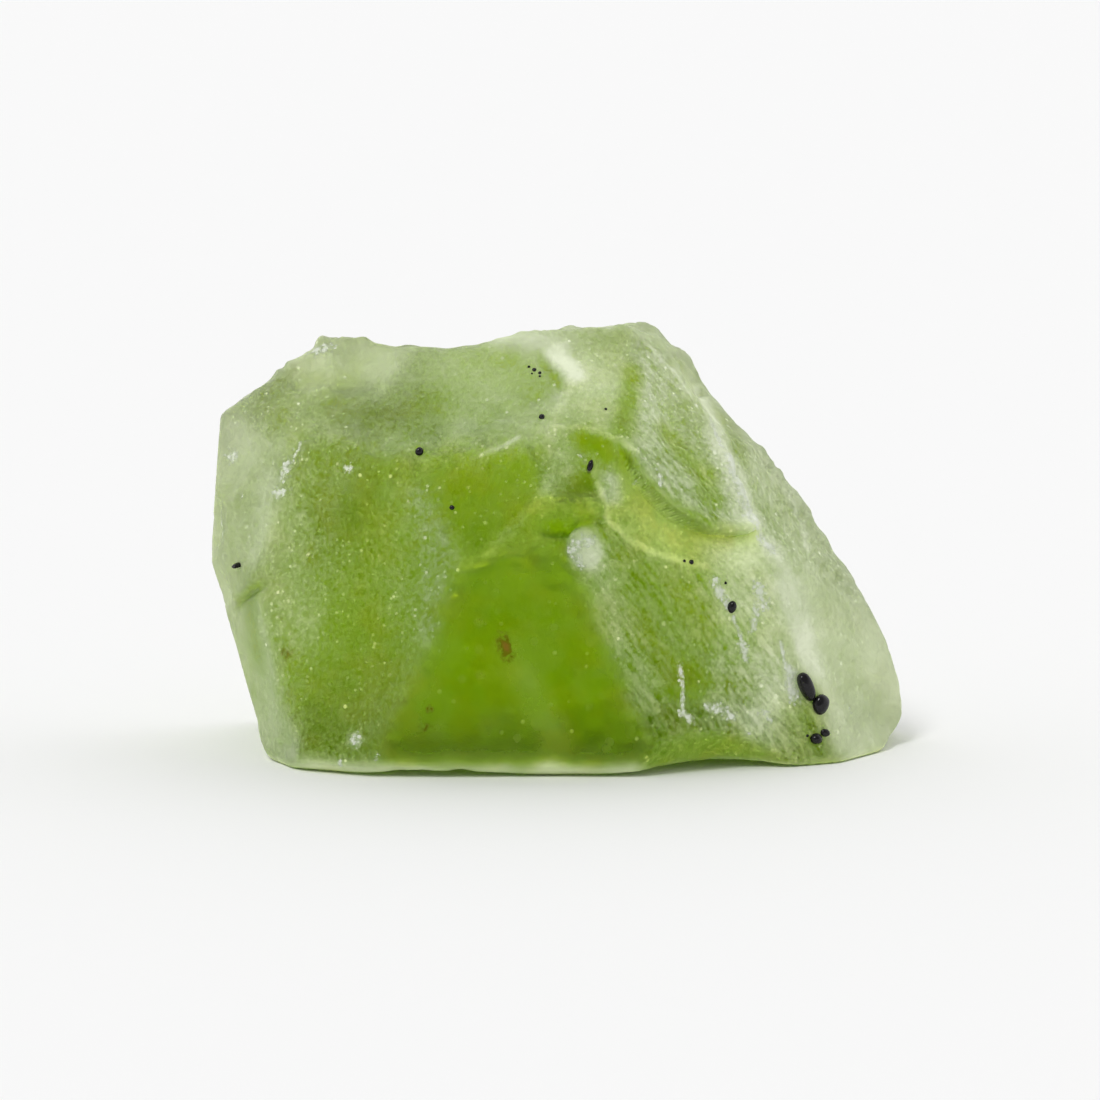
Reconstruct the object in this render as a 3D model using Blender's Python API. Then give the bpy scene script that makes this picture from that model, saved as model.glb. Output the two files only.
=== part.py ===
"""A rough peridot crystal: one broken olivine fragment with black chromite grains in its surface.

The fragment is a block cleaved along flat faces. Each face is given by the way it looks and by its
distance from the heart of the stone. Rounded conchoidal scoops, one stepped ledge and the grains'
pockets are then cut out of it. The stone rests on its flat base face at Z = 0, and looks along -Y.
"""

import math

import bmesh
import bpy
from mathutils import Euler, Vector

MM = 0.001

# Driving dimensions, in millimetres
HEART = Vector((-0.11, -0.19, 4.00))  # every face and scoop is measured from this point
BLOCK = 32.0  # edge of the block before it is cleaved
GRAIN_GAP = 0.02  # play between a grain and its pocket
GRAIN_TRUNCATION = 1.02  # distance of a grain's octahedral faces, in half-widths

# Flat faces: azimuth and elevation of the outward normal in degrees, distance from the heart.
# Azimuth 0 looks along -Y, and grows towards +X.
FACES = {
    "base": (0, -90, 4.00),
    "front": (0, 0, 3.60),
    "front_left": (-25, 11, 3.95),
    "front_right": (25, 10, 3.45),
    "front_foot": (0, -50, 5.19),
    "front_left_foot": (-25, -50, 5.94),
    "brow": (-5, 27, 3.45),
    "shoulder": (-9, 50, 3.60),
    "saddle": (14, 47, 3.55),
    "right_face": (45, 36, 3.65),
    "right_bevel": (66, 35, 4.04),
    "right_slope_upper": (80, 43, 4.42),
    "right_slope_middle": (84, 33, 4.72),
    "right_slope_lower": (88, 27, 5.22),
    "nose_brow": (90, 11, 6.46),
    "nose": (92, 0, 7.20),
    "nose_under": (84, -31, 7.84),
    "right_end": (55, 17, 4.46),
    "left_strip": (-65, -5, 6.08),
    "left_low": (-88, -17.5, 6.64),
    "left_side": (-88, 4, 6.84),
    "left_shoulder": (-86, 52, 6.27),
    "left_face": (-48, 14, 5.30),
    "left_brow": (-32, 48, 4.55),
    "top": (-115, 87, 4.55),
    "crest_right": (78, 57, 4.72),
    "back": (178, -8, 3.70),
    "back_left": (-162, 4, 4.60),
    "back_shoulder": (-135, 40, 5.72),
    "back_right": (130, 20, 5.00),
    "back_top": (170, 48, 4.60),
    "back_low": (175, -38, 4.65),
}

# Conchoidal scoops: the ball's centre, measured from the heart, and its radius
SCOOPS = {
    "hollow": ((1.11, -4.70, 3.54), 2.73),
    "bruise": ((0.85, -3.75, 0.60), 0.50),
    "toe": ((3.95, -4.95, -5.35), 3.00),
    "under_toe": ((3.00, -2.60, -15.85), 12.0),
    "under_window": ((-2.20, -3.60, -15.90), 12.0),
    "striae": ((4.95, -5.15, -1.90), 3.00),
    "face_bowl": ((5.55, -3.25, 5.15), 4.50),
    "ridge_bowl": ((5.70, 0.40, 4.98), 3.30),
    "top_dip": ((-2.10, 1.90, 9.00), 5.20),
    "crown_bowl": ((0.45, 1.15, 8.40), 4.00),
    "chip_crown": ((-4.10, -1.35, 4.85), 1.60),
    "chip_brow": ((-4.95, -0.70, 4.25), 0.90),
    "chip_left": ((-7.30, -1.10, 2.30), 1.40),
    "chip_waist": ((-7.35, -0.20, -0.70), 0.90),
    "chip_foot": ((-6.05, -2.55, -3.80), 0.80),
    "chip_nose": ((7.48, -0.60, -3.00), 1.00),
    "chip_corner": ((3.30, 0.50, 3.80), 0.45),
    "notch_ridge": ((3.27, 0.40, 3.48), 0.32),
    "notch_low": ((5.38, 0.20, 0.92), 0.32),
    "back_bowl": ((0.55, 10.10, 0.55), 7.00),
    "back_shell": ((2.40, 6.45, -1.45), 3.20),
    "back_left_bowl": ((-5.40, 7.70, 1.60), 5.00),
    "back_right_bowl": ((7.25, 5.60, 3.80), 5.50),
    "back_chip": ((-1.90, 4.80, 4.60), 2.20),
}

# Crescent ledges: the ball whose wall is the ledge's floor, and the ball of the knob that stands
# over it, each with its centre from the heart and its radius
LEDGES = {
    "crescent": (((5.32, -6.45, 3.81), 5.96), ((3.11, -0.55, 2.69), 2.47)),
}

# Chromite grains: centre from the heart, half-sizes, and turn about X, Y and Z in degrees
GRAINS = {
    "chromite_pair_long": ((5.09, -1.95, -2.44), (0.17, 0.17, 0.30), (0, -25, 25)),
    "chromite_pair_short": ((5.43, -1.85, -2.84), (0.15, 0.15, 0.17), (10, 20, 50)),
    "chromite_toe": ((5.31, -2.04, -3.48), (0.13, 0.13, 0.11), (20, 0, 30)),
    "chromite_toe_small": ((5.60, -1.91, -3.41), (0.08, 0.08, 0.09), (0, 15, 20)),
    "chromite_middle": ((3.61, -2.31, -0.78), (0.09, 0.09, 0.13), (0, 20, 10)),
    "chromite_hollow": ((0.79, -2.42, 2.04), (0.08, 0.09, 0.15), (0, 15, 0)),
    "chromite_left": ((-6.27, -0.92, -0.14), (0.14, 0.08, 0.07), (0, -12, 40)),
}


def clear_scene():
    """Remove every object of the scene."""
    for old in list(bpy.data.objects):
        bpy.data.objects.remove(old, do_unlink=True)


def make_collection(name):
    """Add a collection to the scene."""
    collection = bpy.data.collections.new(name)
    bpy.context.scene.collection.children.link(collection)
    return collection


def make_material(name, colour, roughness, transmission=0.0, ior=1.5):
    """A Principled material with the piece's plain values."""
    material = bpy.data.materials.new(name)
    material.use_nodes = True
    shader = material.node_tree.nodes["Principled BSDF"]
    shader.inputs["Base Color"].default_value = (*colour, 1.0)
    shader.inputs["Roughness"].default_value = roughness
    shader.inputs["Metallic"].default_value = 0.0
    shader.inputs["Transmission Weight"].default_value = transmission
    shader.inputs["IOR"].default_value = ior
    return material


def direction(azimuth, elevation):
    """Unit vector of a face's outward normal."""
    turn, lift = math.radians(azimuth), math.radians(elevation)
    return Vector((math.sin(turn) * math.cos(lift), -math.cos(turn) * math.cos(lift), math.sin(lift)))


def cleave(mesh, normal, distance):
    """Split a closed bmesh along a plane, drop what is past it and close the cut with a flat face."""
    cut = bmesh.ops.bisect_plane(
        mesh,
        geom=mesh.verts[:] + mesh.edges[:] + mesh.faces[:],
        dist=1e-9,
        plane_co=normal * distance,
        plane_no=normal,
        clear_outer=True,
    )
    rim = [piece for piece in cut["geom_cut"] if isinstance(piece, bmesh.types.BMEdge)]
    if rim:
        bmesh.ops.contextual_create(mesh, geom=rim)
        bmesh.ops.recalc_face_normals(mesh, faces=mesh.faces[:])


def make_object(mesh, name, collection, material=None):
    """Turn a bmesh into a named object."""
    data = bpy.data.meshes.new(name)
    mesh.to_mesh(data)
    mesh.free()
    piece = bpy.data.objects.new(name, data)
    collection.objects.link(piece)
    if material:
        data.materials.append(material)
    return piece


def hide_cutter(cutter):
    """Show a cutter as a wire that isn't part of the stone."""
    cutter.hide_render = True
    cutter.display_type = "WIRE"


def ball(centre, radius):
    """A sphere bmesh, finer where it is large."""
    mesh = bmesh.new()
    fineness = 3 if radius < 1.5 else 4 if radius < 8.0 else 5
    bmesh.ops.create_icosphere(mesh, subdivisions=fineness, radius=radius * MM)
    bmesh.ops.translate(mesh, verts=mesh.verts[:], vec=(HEART + Vector(centre)) * MM)
    return mesh


def make_scoop(name, centre, radius, cutters):
    """The cutter of one conchoidal scoop. Its wall is shaded smooth, so the scoop is too."""
    scoop = make_object(ball(centre, radius), f"scoop_{name}", cutters)
    scoop.data.shade_smooth()
    hide_cutter(scoop)


def make_ledge(name, floor, knob, cutters, knobs):
    """The cutter of a ledge: the floor's ball without the ball of the knob."""
    stand = make_object(ball(*knob), f"knob_{name}", knobs)
    hide_cutter(stand)
    ledge = make_object(ball(*floor), f"ledge_{name}", cutters)
    ledge.data.shade_smooth()
    hide_cutter(ledge)
    spare = ledge.modifiers.new("spare_knob", "BOOLEAN")
    spare.operation = "DIFFERENCE"
    spare.solver = "EXACT"
    spare.object = stand


def make_stone(collection, material):
    """The block cleaved along every flat face."""
    mesh = bmesh.new()
    bmesh.ops.create_cube(mesh, size=BLOCK * MM)
    for azimuth, elevation, distance in FACES.values():
        cleave(mesh, direction(azimuth, elevation), distance * MM)
    bmesh.ops.translate(mesh, verts=mesh.verts[:], vec=HEART * MM)
    return make_object(mesh, "peridot_crystal", collection, material)


def make_grain(name, place, half_sizes, turn, collection, material=None, play=0.0):
    """A chromite crystal: a cube with its eight corners cleaved to octahedral faces."""
    mesh = bmesh.new()
    bmesh.ops.create_cube(mesh, size=2.0)
    for x in (-1, 1):
        for y in (-1, 1):
            for z in (-1, 1):
                cleave(mesh, Vector((x, y, z)).normalized(), GRAIN_TRUNCATION)
    bmesh.ops.scale(mesh, verts=mesh.verts[:], vec=[(size + play) * MM for size in half_sizes])
    grain = make_object(mesh, name, collection, material)
    grain.location = (HEART + Vector(place)) * MM
    grain.rotation_euler = Euler([math.radians(angle) for angle in turn])
    return grain


def make_grains(collection, cutters, material):
    """Every grain, and the open pocket that it sits in."""
    for name, (place, half_sizes, turn) in GRAINS.items():
        make_grain(name, place, half_sizes, turn, collection, material)
        pocket = make_grain(f"pocket_{name}", place, half_sizes, turn, cutters, play=GRAIN_GAP)
        hide_cutter(pocket)


def cut_stone(stone, cutters):
    """Take all the scoops, ledges and pockets out of the stone."""
    for cutter in cutters.objects:
        cut = stone.modifiers.new(cutter.name, "BOOLEAN")
        cut.operation = "DIFFERENCE"
        cut.solver = "EXACT"
        cut.object = cutter


def build():
    """The whole object."""
    clear_scene()
    pieces = make_collection("rough_peridot")
    cutters = make_collection("rough_peridot_cutters")
    knobs = make_collection("rough_peridot_knobs")
    peridot = make_material("peridot", (0.30, 0.44, 0.08), 0.35, transmission=1.0, ior=1.67)
    chromite = make_material("chromite", (0.02, 0.02, 0.02), 0.2)
    stone = make_stone(pieces, peridot)
    for name, (centre, radius) in SCOOPS.items():
        make_scoop(name, centre, radius, cutters)
    for name, (floor, knob) in LEDGES.items():
        make_ledge(name, floor, knob, cutters, knobs)
    make_grains(pieces, cutters, chromite)
    cut_stone(stone, cutters)


build()
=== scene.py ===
# %% [markdown]
# # A rough peridot crystal
#
# The real thing is a 14 mm fragment of olivine, broken out of basalt. It is one clear yellow-green
# crystal. Its faces are fractures, so most of them are frosted by fine steps and pits, and a few are
# glassy windows. Black chromite grains sit in its surface. Such a stone could be sculpted by hand, but
# this lesson works its skin out with numpy, so that every face and mark has a name and a size. It then
# gives the skin a see-through material whose colour comes from the depth of the crystal.

import math

import bpy
import numpy as np
from mathutils import Euler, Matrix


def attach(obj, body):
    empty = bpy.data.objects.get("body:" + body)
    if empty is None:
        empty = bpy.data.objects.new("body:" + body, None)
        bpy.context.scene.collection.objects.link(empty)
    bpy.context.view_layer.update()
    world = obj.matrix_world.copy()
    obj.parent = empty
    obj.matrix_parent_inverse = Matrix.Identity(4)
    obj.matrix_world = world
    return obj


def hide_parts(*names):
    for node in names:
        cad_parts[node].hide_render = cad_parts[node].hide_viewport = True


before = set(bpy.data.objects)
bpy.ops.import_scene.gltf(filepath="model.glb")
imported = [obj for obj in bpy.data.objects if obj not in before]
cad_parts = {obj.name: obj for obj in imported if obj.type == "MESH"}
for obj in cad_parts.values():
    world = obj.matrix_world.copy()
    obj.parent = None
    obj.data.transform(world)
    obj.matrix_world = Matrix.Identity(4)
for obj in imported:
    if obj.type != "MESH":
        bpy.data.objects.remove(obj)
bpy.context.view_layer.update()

# %% [markdown]
# ## Camera
#
# The photograph is a close-up taken with a long lens from just above the table, which keeps the
# stone's outline almost free of perspective. A short lens close by would frame it too, but would
# swell the front and hide the top. A 180 mm lens 111 mm away and 8 degrees up gives the right view,
# with the stone filling two thirds of the frame.

# %% Place the camera
MM = 0.001
CAMERA_TARGET = np.array([-0.11, -0.49, 4.08])
CAMERA_DISTANCE = 111.1
CAMERA_ELEVATION = 8.0
CAMERA_LENS = 180.0
CAMERA_CLIP = 0.005


def place_camera():
    """A camera on a circle around the target, in front of the stone, aimed at the target."""
    lift = math.radians(CAMERA_ELEVATION)
    data = bpy.data.cameras.new("camera")
    data.lens = CAMERA_LENS
    data.clip_start = CAMERA_CLIP
    camera = bpy.data.objects.new("camera", data)
    bpy.context.scene.collection.objects.link(camera)
    offset = np.array([0.0, -math.cos(lift), math.sin(lift)]) * CAMERA_DISTANCE
    camera.location = (CAMERA_TARGET + offset) * MM
    camera.rotation_euler = (math.radians(90.0) - lift, 0.0, 0.0)
    bpy.context.scene.camera = camera
    return camera


camera = place_camera()
print("Camera at", [round(value, 4) for value in camera.location])

# %% [markdown]
# ## Floor and light
#
# A clear stone shows mostly what is behind and above it, so the light matters as much as the stone.
# A picture of a studio could light it, but a plain white sky is easier to tune. The floor and the sky
# fill the stone with light, and one soft key light high on the left models the frosted faces. The
# photographer's side of a studio is dark, and the upright faces mirror it: without that dark patch a
# white sheen would hide their deep green.

# %% Lay the floor and set the light
FLOOR_SIZE = 4.0
FLOOR_GAP = 0.01 * MM
FLOOR_WHITE = (0.90, 0.90, 0.90, 1.0)
FLOOR_ROUGHNESS = 0.9
SKY_STRENGTH = 1.08
DARK_SIDE = (0.0, -0.80, 0.60)
DARK_SPAN = (0.30, 0.85)
DARK_SHARE = 0.25
KEY_TURN = (38.0, -32.0)
KEY_STRENGTH = 1.2
KEY_SOFTNESS = 18.0


def make_floor():
    """A wide matt white sheet just under the stone's base."""
    bpy.ops.mesh.primitive_plane_add(size=FLOOR_SIZE, location=(0.0, 0.0, -FLOOR_GAP))
    floor = bpy.context.object
    floor.name = "floor"
    paper = bpy.data.materials.new("white_paper")
    paper.use_nodes = True
    shader = paper.node_tree.nodes["Principled BSDF"]
    shader.inputs["Base Color"].default_value = FLOOR_WHITE
    shader.inputs["Roughness"].default_value = FLOOR_ROUGHNESS
    floor.data.materials.append(paper)


def set_ranges(node, old, new):
    """Give a Map Range node its old range and its new one."""
    for name, limit in zip(("From Min", "From Max", "To Min", "To Max"), (*old, *new)):
        node.inputs[name].default_value = limit


def set_sky():
    """A white sky, dimmed towards the dark side: the dot product of the two directions sets how far."""
    world = bpy.data.worlds.new("pale_studio")
    world.use_nodes = True
    nodes, links = world.node_tree.nodes, world.node_tree.links
    facing = nodes.new("ShaderNodeVectorMath")
    facing.operation = "DOT_PRODUCT"
    facing.inputs[1].default_value = DARK_SIDE
    links.new(nodes.new("ShaderNodeTexCoord").outputs["Generated"], facing.inputs[0])
    dimming = nodes.new("ShaderNodeMapRange")
    dimming.interpolation_type = "SMOOTHSTEP"
    set_ranges(dimming, DARK_SPAN, (SKY_STRENGTH, SKY_STRENGTH * DARK_SHARE))
    links.new(facing.outputs["Value"], dimming.inputs["Value"])
    background = nodes["Background"]
    background.inputs["Color"].default_value = (1.0, 1.0, 1.0, 1.0)
    links.new(dimming.outputs["Result"], background.inputs["Strength"])
    bpy.context.scene.world = world


def add_key():
    """A far, soft light from high on the left: a sun whose disc is very wide."""
    data = bpy.data.lights.new("key", "SUN")
    data.energy = KEY_STRENGTH
    data.angle = math.radians(KEY_SOFTNESS)
    key = bpy.data.objects.new("key", data)
    bpy.context.scene.collection.objects.link(key)
    key.rotation_euler = (math.radians(KEY_TURN[0]), 0.0, math.radians(KEY_TURN[1]))


make_floor()
set_sky()
add_key()
bpy.context.scene.view_settings.view_transform = "Standard"
print("Floor and light are in place")

# %% [markdown]
# ## The cuts that shape the stone
#
# The fragment broke along flat faces, and was then struck by rounded scoops. The same faces, scoops
# and ledge are in the CAD part, where Boolean modifiers cut them. Here they are plain numbers,
# because numbers can also say which cut a point lies on, and so which finish it has. Each flat face
# is given by the way it looks (azimuth from the front towards the right, and elevation) and by its
# distance from the heart of the stone in millimetres. Three last numbers give its finish. Frost is
# the share of light that the face scatters, from 0 on a glassy window. Glow is how far that light
# takes on the crystal's own colour. Grit is how strongly fine steps and grains break the face up.

# %% Name the faces
HEART = np.array([-0.11, -0.19, 4.00])
FACES = {
    "base": (0, -90, 4.00, 0.35, 0.80, 0.30),
    "front": (0, 0, 3.60, 0.01, 1.00, 0.25),
    "front_left": (-25, 11, 3.95, 0.14, 0.60, 1.00),
    "front_right": (25, 10, 3.45, 0.15, 0.65, 0.90),
    "front_foot": (0, -50, 5.19, 0.95, 0.10, 0.50),
    "front_left_foot": (-25, -50, 5.94, 0.95, 0.10, 0.50),
    "brow": (-5, 27, 3.45, 0.05, 0.90, 1.00),
    "shoulder": (-9, 50, 3.60, 0.26, 0.02, 0.50),
    "saddle": (14, 47, 3.55, 0.38, 0.32, 0.85),
    "right_face": (45, 36, 3.65, 0.34, 0.03, 1.20),
    "right_bevel": (66, 35, 4.04, 0.38, 0.05, 1.30),
    "right_slope_upper": (80, 43, 4.42, 0.45, 0.05, 0.60),
    "right_slope_middle": (84, 33, 4.72, 0.45, 0.05, 0.60),
    "right_slope_lower": (88, 27, 5.22, 0.45, 0.05, 0.50),
    "nose_brow": (90, 11, 6.46, 0.75, 0.10, 0.50),
    "nose": (92, 0, 7.20, 0.88, 0.10, 0.50),
    "nose_under": (84, -31, 7.84, 0.62, 0.10, 0.30),
    "right_end": (55, 17, 4.46, 0.66, 0.12, 0.60),
    "left_strip": (-65, -5, 6.08, 0.33, 0.10, 0.60),
    "left_low": (-88, -17.5, 6.64, 0.35, 0.10, 0.50),
    "left_side": (-88, 4, 6.84, 0.40, 0.10, 0.50),
    "left_shoulder": (-86, 52, 6.27, 0.42, 0.05, 0.30),
    "left_face": (-48, 14, 5.30, 0.30, 0.10, 0.60),
    "left_brow": (-32, 48, 4.55, 0.21, 0.22, 0.80),
    "top": (-115, 87, 4.55, 0.32, 0.15, 0.50),
    "crest_right": (78, 57, 4.72, 0.42, 0.00, 0.80),
    "back": (178, -8, 3.70, 0.22, 0.50, 0.75),
    "back_left": (-162, 4, 4.60, 0.24, 0.35, 0.75),
    "back_shoulder": (-135, 40, 5.72, 0.30, 0.25, 0.75),
    "back_right": (130, 20, 5.00, 0.38, 0.15, 0.75),
    "back_top": (170, 48, 4.60, 0.30, 0.25, 0.75),
    "back_low": (175, -38, 4.65, 0.40, 0.30, 0.60),
}

# Scoops: the ball's centre from the heart and its radius, then the scoop's frost, glow and grit
SCOOPS = {
    "hollow": ((1.11, -4.70, 3.54), 2.73, 0.16, 0.50, 1.00),
    "bruise": ((0.85, -3.75, 0.60), 0.50, 0.60, 0.00, 0.50),
    "toe": ((3.95, -4.95, -5.35), 3.00, 0.21, 1.00, 1.60),
    "under_toe": ((3.00, -2.60, -15.85), 12.0, 0.60, 0.20, 0.50),
    "under_window": ((-2.20, -3.60, -15.90), 12.0, 0.60, 0.20, 0.50),
    "striae": ((4.95, -5.15, -1.90), 3.00, 0.24, 0.25, 1.20),
    "face_bowl": ((5.55, -3.25, 5.15), 4.50, 0.34, 0.03, 1.20),
    "ridge_bowl": ((5.70, 0.40, 4.98), 3.30, 0.45, 0.05, 0.80),
    "top_dip": ((-2.10, 1.90, 9.00), 5.20, 0.26, 0.25, 0.80),
    "crown_bowl": ((0.45, 1.15, 8.40), 4.00, 0.48, 0.00, 0.60),
    "chip_crown": ((-4.10, -1.35, 4.85), 1.60, 0.28, 0.08, 0.40),
    "chip_brow": ((-4.95, -0.70, 4.25), 0.90, 0.45, 0.20, 0.40),
    "chip_left": ((-7.30, -1.10, 2.30), 1.40, 0.42, 0.05, 0.40),
    "chip_waist": ((-7.35, -0.20, -0.70), 0.90, 0.45, 0.10, 0.50),
    "chip_foot": ((-6.05, -2.55, -3.80), 0.80, 0.40, 0.10, 0.50),
    "chip_nose": ((7.48, -0.60, -3.00), 1.00, 0.50, 0.10, 0.50),
    "chip_corner": ((3.30, 0.50, 3.80), 0.45, 0.45, 0.05, 0.50),
    "notch_ridge": ((3.27, 0.40, 3.48), 0.32, 0.50, 0.05, 0.50),
    "notch_low": ((5.38, 0.20, 0.92), 0.32, 0.50, 0.05, 0.50),
    "back_bowl": ((0.55, 10.10, 0.55), 7.00, 0.12, 0.70, 0.60),
    "back_shell": ((2.40, 6.45, -1.45), 3.20, 0.10, 0.80, 0.50),
    "back_left_bowl": ((-5.40, 7.70, 1.60), 5.00, 0.22, 0.45, 0.75),
    "back_right_bowl": ((7.25, 5.60, 3.80), 5.50, 0.34, 0.20, 0.75),
    "back_chip": ((-1.90, 4.80, 4.60), 2.20, 0.16, 0.60, 0.70),
}

# The crescent ledge: the ball whose wall is its floor, and the ball of the knob that stands over it
LEDGE_FLOOR = ((5.32, -6.45, 3.81), 5.96, 0.57, 0.88, 1.20)
LEDGE_KNOB = ((3.11, -0.55, 2.69), 2.47, 0.16, 0.60, 0.60)
print(len(FACES), "faces,", len(SCOOPS), "scoops and one ledge")

# %% [markdown]
# ## From cuts to a surface
#
# Each cut gives every point a height: how far the point stands outside that cut. The largest height
# says which cut made the surface there. Real edges are worn, so the largest is taken softly, which
# rounds every edge by a small radius.

# %% Measure a point's height over the cuts
WORN_EDGE = 0.035
FAR_INSIDE = -9.0


def direction(azimuth, elevation):
    """Unit normal: sine and cosine of the azimuth in the floor plane, lifted by the elevation."""
    turn, lift = math.radians(azimuth), math.radians(elevation)
    return [math.sin(turn) * math.cos(lift), -math.cos(turn) * math.cos(lift), math.sin(lift)]


FACE_NORMALS = np.array([direction(*face[:2]) for face in FACES.values()])
FACE_DISTANCES = np.array([face[2] for face in FACES.values()])
BALLS = [*SCOOPS.values(), LEDGE_FLOOR, LEDGE_KNOB]
BALL_CENTRES = np.array([ball[0] for ball in BALLS])
BALL_RADII = np.array([ball[1] for ball in BALLS])
FINISH = np.array([face[3:] for face in FACES.values()] + [ball[2:] for ball in BALLS])


def cut_heights(points):
    """One column a cut: distance past each face, then depth inside each ball. The ledge's two balls
    share one cut, the smaller of the depth inside the floor's ball and the distance outside the
    knob's ball, and the ball that gives the smaller value holds it in its own column."""
    faces = points @ FACE_NORMALS.T - FACE_DISTANCES
    balls = BALL_RADII - np.linalg.norm(points[:, None, :] - BALL_CENTRES, axis=2)
    floor_depth, outside_knob = balls[:, -2], -balls[:, -1]
    on_floor = floor_depth < outside_knob
    balls[:, -2] = np.where(on_floor, floor_depth, FAR_INSIDE)
    balls[:, -1] = np.where(on_floor, FAR_INSIDE, outside_knob)
    return np.column_stack([faces, balls])


def soft_largest(heights, softness=WORN_EDGE):
    """Soft maximum of each row: softness times the log of the sum of exp(height / softness)."""
    top = heights.max(axis=1, keepdims=True)
    return top[:, 0] + softness * np.log(np.exp((heights - top) / softness).sum(axis=1))


def stone_height(points):
    """Height over the whole stone: below zero inside, zero on the surface."""
    return soft_largest(cut_heights(points))


print("Height at the heart:", round(float(stone_height(np.zeros((1, 3)))[0]), 2), "mm")

# %% [markdown]
# The surface is a closed box-shaped grid. Each grid point lies on its own ray from the heart, and
# walks out along it by the height that is still missing, until it reaches the surface. A globe's grid
# would crowd its points at two poles. A box grid has none, and its three counts spread the points
# evenly over a stone that is wider than deep.

# %% Make a closed grid and walk it out to the surface
def box_grid(counts):
    """Points of a box's surface lattice from -1 to 1, and its quads, with each edge point shared."""
    size = np.array(counts)
    lattice = np.stack(np.meshgrid(*[np.arange(n + 1) for n in counts], indexing="ij"), axis=-1)
    on_skin = ((lattice == 0) | (lattice == size)).any(axis=-1)
    number = np.full(on_skin.shape, -1)
    number[on_skin] = np.arange(on_skin.sum())
    quads = []
    for axis in range(3):
        for end in (0, counts[axis]):
            sheet = np.take(number, end, axis=axis)
            ring = [sheet[:-1, :-1], sheet[1:, :-1], sheet[1:, 1:], sheet[:-1, 1:]]
            outward = (end > 0) != (axis == 1)
            ordered = ring if outward else ring[::-1]
            quads.append(np.stack(ordered, axis=-1).reshape(-1, 4))
    points = lattice[on_skin] / size * 2.0 - 1.0
    return points, np.concatenate(quads)


def spread_evenly(points, angle):
    """Box points moved so that they look evenly spaced from the box's middle: the tangent of the point
    times an angle, over the tangent of the angle."""
    return np.tan(points * angle) / math.tan(angle)


def walk_out(directions, height, steps=70):
    """Steps each ray outwards by minus the height at its end, which never passes the surface."""
    reach = np.zeros(len(directions))
    for _ in range(steps):
        reach -= height(directions * reach[:, None])
    return directions * reach[:, None]


STONE_COUNTS = (200, 62, 140)
STONE_REACH = np.array([6.6, 3.6, 4.2])
STONE_SPREAD = 0.62
grid, quads = box_grid(STONE_COUNTS)
rays = spread_evenly(grid, STONE_SPREAD) * STONE_REACH
rays /= np.linalg.norm(rays, axis=1, keepdims=True)
skin = walk_out(rays, stone_height)
print(len(skin), "points,", len(quads) * 2, "triangles, left over", abs(stone_height(skin)).max())

# %% [markdown]
# ## Fracture relief
#
# Broken olivine is never quite flat. Broad waves run over each face, fine pits frost it, some faces
# are rippled, and the edges are nibbled by tiny chips. Blender's Displace modifier could raise such
# relief, but only one texture at a time. Here the relief is noise from numpy: random numbers on a
# lattice, blended smoothly. It can be mixed by face, by edge and by mark before it moves a point.

# %% Write the noise
# Large odd numbers that stir the bits, the last whole number they can reach, and a shift that keeps
# every cell number above zero
AXIS_MIXERS = np.array([374761393, 668265263, 2147483647], dtype=np.uint32)
SEED_MIXER = np.uint32(1274126177)
LAST_MIXER = np.uint32(1103515245)
LAST_NUMBER = 4294967295.0
CELL_SHIFT = 1000.0


def lattice_random(cells, seed):
    """A repeatable random number from 0 to 1 for each whole-number cell, by mixing its bits."""
    with np.errstate(over="ignore"):
        mixed = (cells.astype(np.uint32) * AXIS_MIXERS).sum(axis=-1, dtype=np.uint32)
        mixed += np.uint32(seed) * SEED_MIXER
        mixed = (mixed ^ (mixed >> np.uint32(13))) * LAST_MIXER
        mixed ^= mixed >> np.uint32(16)
    return mixed / LAST_NUMBER


def smooth_noise(points, size, seed):
    """Noise from -1 to 1: the eight corner numbers of each point's cell, blended by smooth steps."""
    scaled = points / size + CELL_SHIFT
    cell = np.floor(scaled).astype(np.int64)
    part = scaled - cell
    part = part * part * (3.0 - 2.0 * part)
    total = np.zeros(len(points))
    for corner in np.ndindex(2, 2, 2):
        weight = np.where(np.array(corner) == 1, part, 1.0 - part).prod(axis=1)
        total += weight * lattice_random(cell + np.array(corner), seed)
    return total * 2.0 - 1.0


def rough_noise(points, size, seed, layers=2):
    """Layers of smooth noise, each half the size and about half the height of the last."""
    total = np.zeros(len(points))
    for layer in range(layers):
        total += smooth_noise(points, size * 0.5**layer, seed + layer) * 0.55**layer
    return total


def outward_normals(points, height, reach=0.01):
    """Normal of the surface: how the height changes over a small step along each axis."""
    steps = np.eye(3) * reach
    slopes = [height(points + step) - height(points - step) for step in steps]
    normals = np.stack(slopes, axis=1)
    return normals / np.linalg.norm(normals, axis=1, keepdims=True)


def edge_nearness(heights, width):
    """1 on an edge, falling to 0 inside a face: exp of minus the gap between the two top heights."""
    top_two = np.partition(heights, -2, axis=1)[:, -2:]
    return np.exp(-np.abs(top_two[:, 1] - top_two[:, 0]) / width)


normals = outward_normals(skin, stone_height)
print("Normals for", len(normals), "points")

# %% [markdown]
# Each point takes its finish from the cut that made it. On the real stone no finish ends along a
# ruled line, so neighbouring cuts share the points near their edge, and the border between them
# wanders a little to and fro.

# %% Share out the finish
FINISH_BLEND = 0.06
WANDER = 0.04
WANDER_SIZE = 0.5
WANDER_SEED = 90
EDGE_WIDTH = 0.10
WIDE_EDGE_WIDTH = 0.25


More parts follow.
